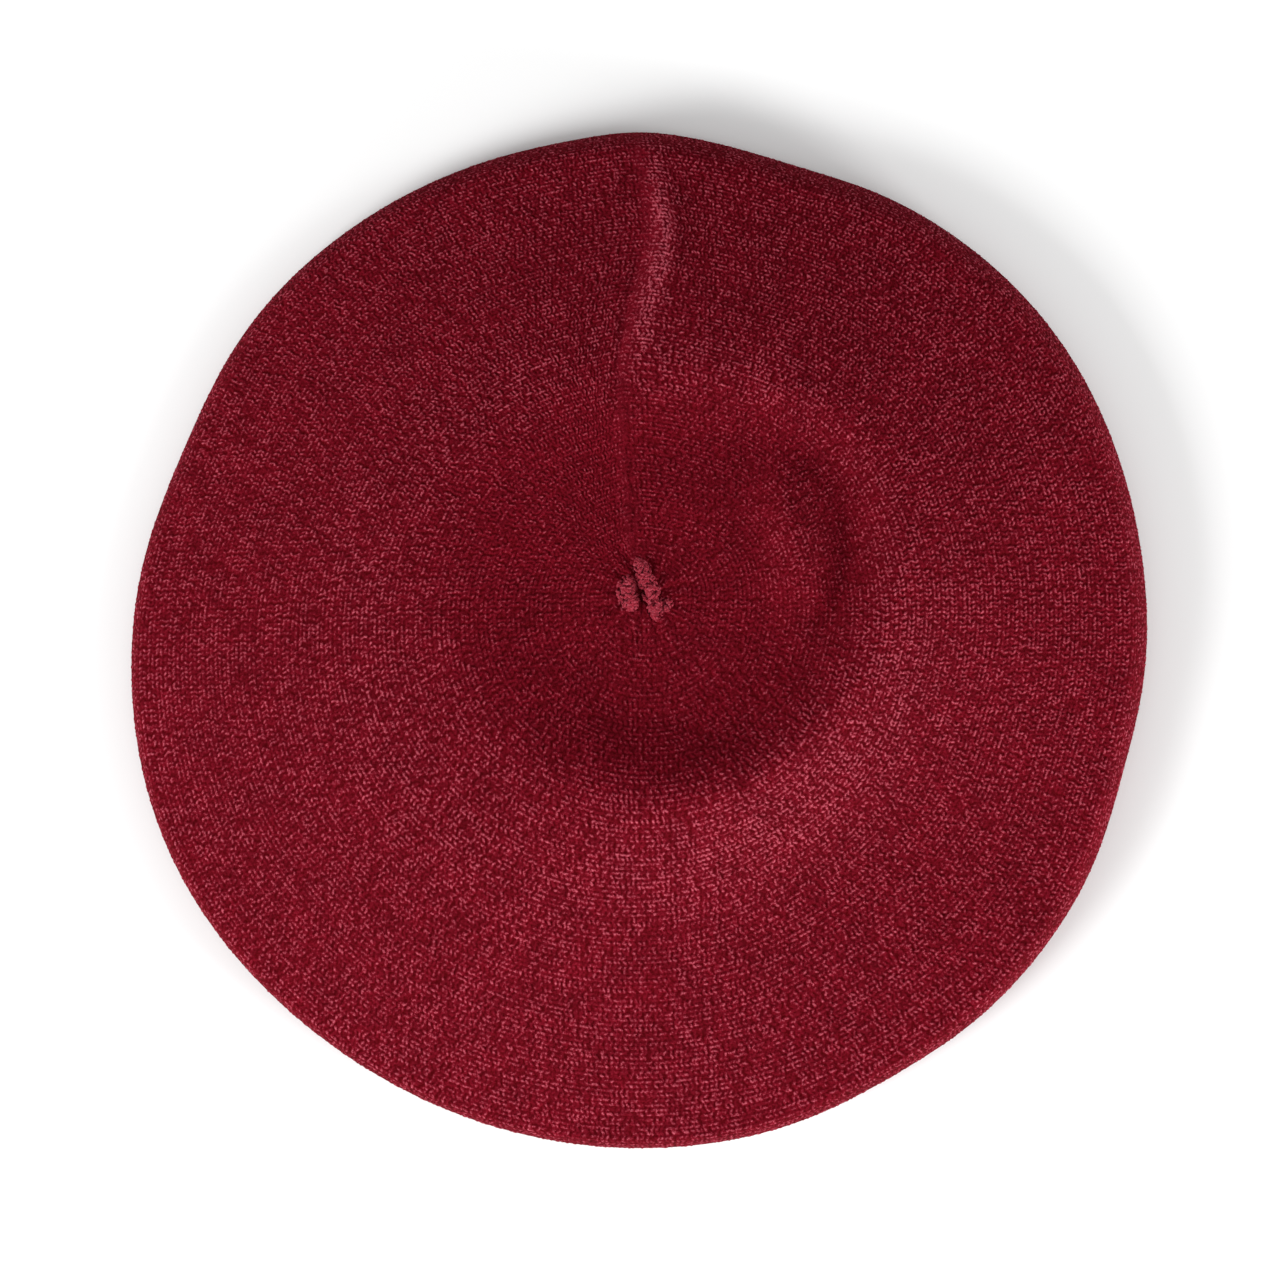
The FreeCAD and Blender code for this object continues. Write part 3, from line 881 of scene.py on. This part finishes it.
def make_back_seam(top_points, under_points, material):
    """A zigzag of linking yarn on the inside of the fabric, under the top and on the underside."""
    paths = []
    for points, low, spare in ((top_points, 14.0, 6.0), (under_points, 8.0, 4.0)):
        rows = even_rows(points, np.linspace(0.0, 1.0, 300))
        line = rows[:, :, 0].T - row_normals(rows)[:, :, 0].T * (KNIT_THICK + 0.55)
        length = np.concatenate([[0], np.cumsum(np.linalg.norm(np.diff(line, axis=0), axis=1))])
        high = length[-1] - spare
        at = np.arange(low, high, 0.2)
        spots = np.column_stack([np.interp(at, length, line[:, axis]) for axis in range(3)])
        phase = at / 1.7 * TURN
        spots[:, 0] += 0.9 * np.sin(phase)
        spots[:, 2] += 0.2 * np.cos(2.0 * phase)
        paths.append(spots)
    return yarn_piece("back_seam_linking", paths, 0.4, material, sides=7)


RIBS = 147
RIB_RELIEF = 0.7
RIB_COURSE = 1.55


def make_headband(material):
    """The folded ribbed strip: out, under and up the inside, with the space for the elastic."""
    low, high = (np.array(corner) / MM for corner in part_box("headband"))
    layer = 1.9
    inner, outer = BAND_INNER, BAND_OUTER
    bottom = 1.3
    fold = np.linspace(0.0, math.pi, 15)
    half = (outer - inner) / 2.0
    shown = [(outer, z) for z in np.arange(BAND_HEIGHT, bottom + half * 0.6, -0.4)]
    shown += [
        (inner + half + half * math.cos(t), bottom - bottom * math.sin(t) ** 0.6) for t in fold
    ]
    shown += [(inner, z) for z in np.arange(bottom + half * 0.6, BAND_HEIGHT, 0.4)]
    hidden = [
        (inner + layer, BAND_HEIGHT),
        (inner + layer, 14.0),
        (inner + layer, 2.8),
        (outer - layer, 2.8),
        (outer - layer, 14.0),
        (outer - layer, BAND_HEIGHT),
    ]
    profile = np.array(shown + hidden)
    columns = RIBS * 8
    angle = np.arange(columns) / columns * TURN
    step = np.gradient(profile, axis=0)
    normal = np.column_stack([-step[:, 1], step[:, 0]])
    normal /= np.linalg.norm(normal, axis=1)[:, None]
    along = np.concatenate([[0], np.cumsum(np.linalg.norm(np.diff(profile, axis=0), axis=1))])
    vertices, reliefs = [], []
    for index, ((r, z), (nr, nz)) in enumerate(zip(profile, normal)):
        shows = 1.0 if index < len(shown) else 0.0
        rib = 0.5 + 0.5 * np.cos(angle * RIBS)
        wave = np.abs(((angle * RIBS / TURN + 0.5) % 1.0) - 0.5)
        course = 0.5 + 0.5 * np.cos((along[index] / RIB_COURSE + 1.1 * wave * 2.0) * TURN)
        # This relief sets both the rib's depth and its colour: painted shade in the valleys, painted
        # highlight on the ribs.
        relief = shows * (0.25 + 0.75 * rib) * (0.55 + 0.45 * course)
        lift = -RIB_RELIEF * (1.0 - relief) * shows
        reach = r + nr * lift
        vertices.append(
            np.column_stack([reach * np.cos(angle), reach * np.sin(angle), np.full(columns, z + nz * lift)])
        )
        reliefs.append(relief)
    rows = len(profile)
    faces = [quads(((i + 1) % rows) * columns, i * columns, columns) for i in range(rows)]
    vertices = np.concatenate(vertices)
    turns = np.tile(angle / TURN, rows)
    up = np.repeat(np.arange(rows) / rows, columns)
    uv = np.column_stack([turns, up])
    corner_uv = uv[np.concatenate(faces).ravel()]
    return mesh_object(
        "headband_rib", vertices, [np.concatenate(faces)], material, corner_uv, np.concatenate(reliefs)
    )


def ribbon(name, middle, sides, material, ripple=0.15, waves=1.5):
    """A thin woven label with rounded edges, lightly rippled along its length."""
    across, along = 18, 60
    u = np.linspace(-0.5, 0.5, along)[:, None] * sides[0]
    v = np.linspace(-0.5, 0.5, across)[None, :] * sides[1]
    z = ripple * np.sin(waves * TURN * u / sides[0] + 0.6) + 0.0 * v
    edge = np.minimum(
        (0.5 * sides[0] - np.abs(u)) / 0.8 + 0.35, (0.5 * sides[1] - np.abs(v)) / 0.8 + 0.35
    )
    thick = 0.5 * sides[2] * np.sqrt(np.clip(edge, 0.0, 1.0))
    x, y = np.broadcast_arrays(middle[0] + u, middle[1] + v)
    front, back = (np.stack([x, y, middle[2] + z + way * thick], -1) for way in (1.0, -1.0))
    face, wall, count = sheet_faces(along, across)
    vertices = np.concatenate([front.reshape(-1, 3), back.reshape(-1, 3)])
    return mesh_object(name, vertices, [face, face[:, ::-1] + count, wall[:, ::-1]], material)


def make_stitches(name, starts, ends, radius, material):
    """Single thread stitches, each a short bowed yarn from a start to an end."""
    paths = []
    for start, end in zip(starts, ends):
        part = np.linspace(0.0, 1.0, 7)[:, None]
        path = np.asarray(start) * (1.0 - part) + np.asarray(end) * part
        path[:, 2] -= 0.18 * np.sin(math.pi * part[:, 0])
        paths.append(path)
    return yarn_piece(name, paths, radius, material, sides=6, plies=2)


def make_elastic(material):
    """The braided tape in the headband's fold: a ribbed ring with rounded edges."""
    middle, sides = middle_of("band_elastic")
    radius, half_tall = sides[0] / 2.0 - 0.4, sides[2] / 2.0
    cords, columns = 7, 720
    angle = np.arange(columns) / columns * TURN
    up = np.linspace(-1.0, 1.0, cords * 6 + 1)
    profile = [(1.0, z) for z in up] + [(-1.0, z) for z in up[::-1]]
    vertices = []
    for way, z in profile:
        cord = 0.5 + 0.5 * math.cos((z + 1.0) * 0.5 * cords * TURN)
        edge = math.sqrt(max(0.0, min(1.0, (1.0 - abs(z)) * 6.0)))
        braid = 0.06 * np.cos(angle * 360 + math.pi * round((z + 1.0) * 0.5 * cords))
        reach = radius + way * (0.08 + edge * (0.2 + 0.08 * cord) + braid * edge)
        height = np.full(columns, middle[2] + z * half_tall)
        vertices.append(np.column_stack([reach * np.cos(angle), reach * np.sin(angle), height]))
    rows = len(profile)
    faces = [quads(((i + 1) % rows) * columns, i * columns, columns) for i in range(rows)]
    return mesh_object("elastic_braid", np.concatenate(vertices), [np.concatenate(faces)], material)


def folded_label(material):
    """The care label: one strip folded back on itself, with both ends caught in the seam."""
    middle, sides = middle_of("care_label")
    far, near = middle[0] - sides[0] / 2.0 + 0.3, middle[0] + sides[0] / 2.0 - 0.3
    gap = 0.16
    turn = np.linspace(0.5 * math.pi, 1.5 * math.pi, 13)
    lower, upper = middle[2] - gap, middle[2] + gap
    out = np.linspace(near, far + gap, 46)
    bow = 0.1 * np.sin((out - near) / (far - near) * math.pi)
    line = list(zip(out, upper + bow)) + [
        (far + gap + gap * math.cos(t), middle[2] + gap * math.sin(t)) for t in turn[1:-1]
    ] + list(zip(out[::-1], lower - 0.6 * bow[::-1]))
    line = np.array(line)
    step = np.gradient(line, axis=0)
    normal = np.column_stack([step[:, 1], -step[:, 0]])
    normal /= np.linalg.norm(normal, axis=1)[:, None]
    width = np.linspace(-0.5, 0.5, 25) * sides[1]
    half = 0.5 * CARE_THICK
    loop = []
    for way in (1.0, -1.0):
        side = line + normal * half * way
        x, z = (np.repeat(side[:, axis : axis + 1], len(width), 1) for axis in (0, 1))
        loop.append(np.stack([x, np.tile(middle[1] + width, (len(line), 1)), z], -1))
    return sheet_mesh("care_label_ribbon", loop[0], loop[1], material)


def sheet_faces(along, across):
    """One grid's faces, the walls that join its rim to a second grid's, and its count of points."""
    i, j = np.meshgrid(np.arange(along - 1), np.arange(across - 1), indexing="ij")
    corner = (i * across + j).ravel()
    face = np.stack([corner, corner + across, corner + across + 1, corner + 1], axis=1)
    count = along * across
    rim = np.concatenate(
        [
            np.arange(0, count - across, across),
            np.arange(count - across, count - 1),
            np.arange(count - 1, across - 1, -across),
            np.arange(across - 1, 0, -1),
        ]
    )
    after = np.roll(rim, -1)
    wall = np.stack([rim, rim + count, after + count, after], axis=1)
    return face, wall, count


def sheet_mesh(name, front, back, material):
    """A closed thin sheet from two grids of points."""
    face, wall, count = sheet_faces(*front.shape[:2])
    vertices = np.concatenate([front.reshape(-1, 3), back.reshape(-1, 3)])
    return mesh_object(name, vertices, [face, face[:, ::-1] + count, wall], material)


# ------------------------------------------------------------------ materials and pieces

# In body_yarn and band_yarn the dark stop is painted shade in the stitches' hollows and the pale stop
# painted highlight on their tops.
body_yarn = yarn_material(
    "body_yarn", (0.060, 0.0006, 0.0016), (0.136, 0.0034, 0.0105), (0.43, 0.080, 0.112)
)
loose_yarn = yarn_material(
    "loose_yarn", (0.10, 0.002, 0.006), (0.23, 0.017, 0.030), (0.42, 0.08, 0.11), relief=False
)
seam_yarn = yarn_material(
    "seam_yarn", (0.07, 0.002, 0.006), (0.17, 0.008, 0.018), (0.30, 0.045, 0.07), relief=False
)
band_yarn = yarn_material("band_yarn", (0.045, 0.0008, 0.003), (0.16, 0.0075, 0.017), (0.31, 0.045, 0.07))
woven = weave_material("woven_label", (0.10, 0.096, 0.09), (0.80, 0.78, 0.73), 2600.0)
ribbon_cloth = weave_material(
    "care_ribbon", (0.5, 0.5, 0.49), (0.86, 0.86, 0.84), 3000.0, sheen=0.3, rough=0.45
)
elastic_cloth = weave_material("elastic_weave", (0.45, 0.44, 0.42), (0.82, 0.81, 0.78), 1600.0)
thread = yarn_material(
    "label_thread",
    (0.35, 0.34, 0.32),
    (0.7, 0.69, 0.66),
    (0.85, 0.84, 0.82),
    relief=False,
    fibre=0.00004,
)

top_table, under_table = ray_table(True), ray_table(False)
top_stitches = [GORES * (k + 1) for k in range(TOP_WALES)]
under_stitches = [GORES * (TOP_WALES - k) for k in range(UNDER_WALES)]
crown = knitted_piece(
    "crown_top_knit", top_table, top_stitches, outer_top, ((7, 4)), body_yarn
)
underside = knitted_piece(
    "crown_underside_knit", under_table, under_stitches, outer_under, ((5, 4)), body_yarn
)

pieces = [
    (crown, "crown_top", "body_knit"),
    (underside, "crown_underside", "body_knit"),
    (make_headband(band_yarn), "headband", "band_knit"),
    (make_elastic(elastic_cloth), "band_elastic", "elastic"),
    (make_join_chain(seam_yarn), "band_join_yarn", "seam_yarn"),
    (make_band_seam(seam_yarn), "band_seam_yarn", "seam_yarn"),
    (make_back_seam(top_table, under_table, seam_yarn), "back_seam_yarn", "seam_yarn"),
    (make_closing_yarn(loose_yarn), "closing_yarn", "body_yarn"),
    (make_draw_ring(seam_yarn), "draw_yarn_ring", "seam_yarn"),
]
label_middle, label_sides = middle_of("maker_label")
maker = ribbon("maker_label_cloth", label_middle, label_sides, woven)
pieces.append((maker, "maker_label", "woven_label"))

starts, ends = [], []
row_middle, row_sides = middle_of("maker_label_stitches")
for x in (row_middle[0] - row_sides[0] / 2 + 0.4, row_middle[0] + row_sides[0] / 2 - 0.4):
    for y in np.arange(row_middle[1] - row_sides[1] / 2, row_middle[1] + row_sides[1] / 2 - 1.0, 2.0):
        starts.append((x, y + 0.2, row_middle[2]))
        ends.append((x, y + 1.6, row_middle[2]))
pieces.append(
    (make_stitches("maker_label_thread", starts, ends, 0.18, thread), "maker_label_stitches", "label_thread")
)
row_middle, row_sides = middle_of("care_label_stitches")
starts, ends = [], []
for y in np.arange(row_middle[1] - row_sides[1] / 2, row_middle[1] + row_sides[1] / 2 - 1.0, 3.5):
    starts.append((row_middle[0], y, row_middle[2]))
    ends.append((row_middle[0], y + 2.0, row_middle[2]))
pieces.append(
    (make_stitches("care_label_thread", starts, ends, 0.25, thread), "care_label_stitches", "label_thread")
)
for piece, node, slot in pieces:
    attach(piece, "hat")
    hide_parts(node)

care = folded_label(ribbon_cloth)
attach(care, "label_flap")
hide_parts("care_label")

# ------------------------------------------------------------------ floor, lights and camera

FLOOR_SIZE = 6.0
floor_mesh = bpy.data.meshes.new("floor")
half = FLOOR_SIZE / 2.0
floor_corners = [(-half, -half, 0.0), (half, -half, 0.0), (half, half, 0.0), (-half, half, 0.0)]
floor_mesh.from_pydata(floor_corners, [], [(0, 1, 2, 3)])
floor = bpy.data.objects.new("floor", floor_mesh)
bpy.context.scene.collection.objects.link(floor)
floor_nodes = Nodes("floor_paper")
floor_nodes.join(
    floor_nodes.ramp(floor_nodes.noise(3.0), [(0.3, (0.86, 0.86, 0.86)), (0.7, (0.88, 0.88, 0.88))]),
    floor_nodes.shader.inputs["Base Color"],
)
floor_nodes.set(Roughness=0.9, Specular_IOR_Level=0.1)
floor_mesh.materials.append(floor_nodes.material)

TARGET = Vector((0.0036, -0.0063, 0.012))


def area_light(name, azimuth, elevation, distance, size, watts):
    """A soft square light aimed at the hat."""
    light = bpy.data.lights.new(name, "AREA")
    light.size = size
    light.energy = watts
    made = bpy.data.objects.new(name, light)
    a, e = math.radians(azimuth), math.radians(elevation)
    way = Vector((math.cos(a) * math.cos(e), math.sin(a) * math.cos(e), math.sin(e)))
    made.location = TARGET + way * distance
    made.rotation_euler = way.to_track_quat("Z", "Y").to_euler()
    bpy.context.scene.collection.objects.link(made)


area_light("front_left", 212.0, 27.0, 1.8, 0.8, 37.0)
area_light("low_right", -34.0, 11.0, 1.6, 0.4, 25.0)
area_light("high_right", -10.0, 40.0, 1.6, 0.5, 4.0)

world = bpy.data.worlds.new("studio")
world.use_nodes = True
world.node_tree.nodes["Background"].inputs["Color"].default_value = (1.0, 1.0, 1.0, 1.0)
world.node_tree.nodes["Background"].inputs["Strength"].default_value = 0.63
bpy.context.scene.world = world
bpy.context.scene.view_settings.view_transform = "Standard"

FIELD = 0.352
CAMERA_HEIGHT = 1.3
camera_data = bpy.data.cameras.new("camera")
camera = bpy.data.objects.new("camera", camera_data)
camera_data.sensor_width = 36.0
camera_data.lens = 36.0 * (CAMERA_HEIGHT - TARGET.z) / FIELD
camera.location = (TARGET.x, TARGET.y, CAMERA_HEIGHT)
bpy.context.scene.collection.objects.link(camera)
bpy.context.scene.camera = camera

bpy.context.view_layer.update()
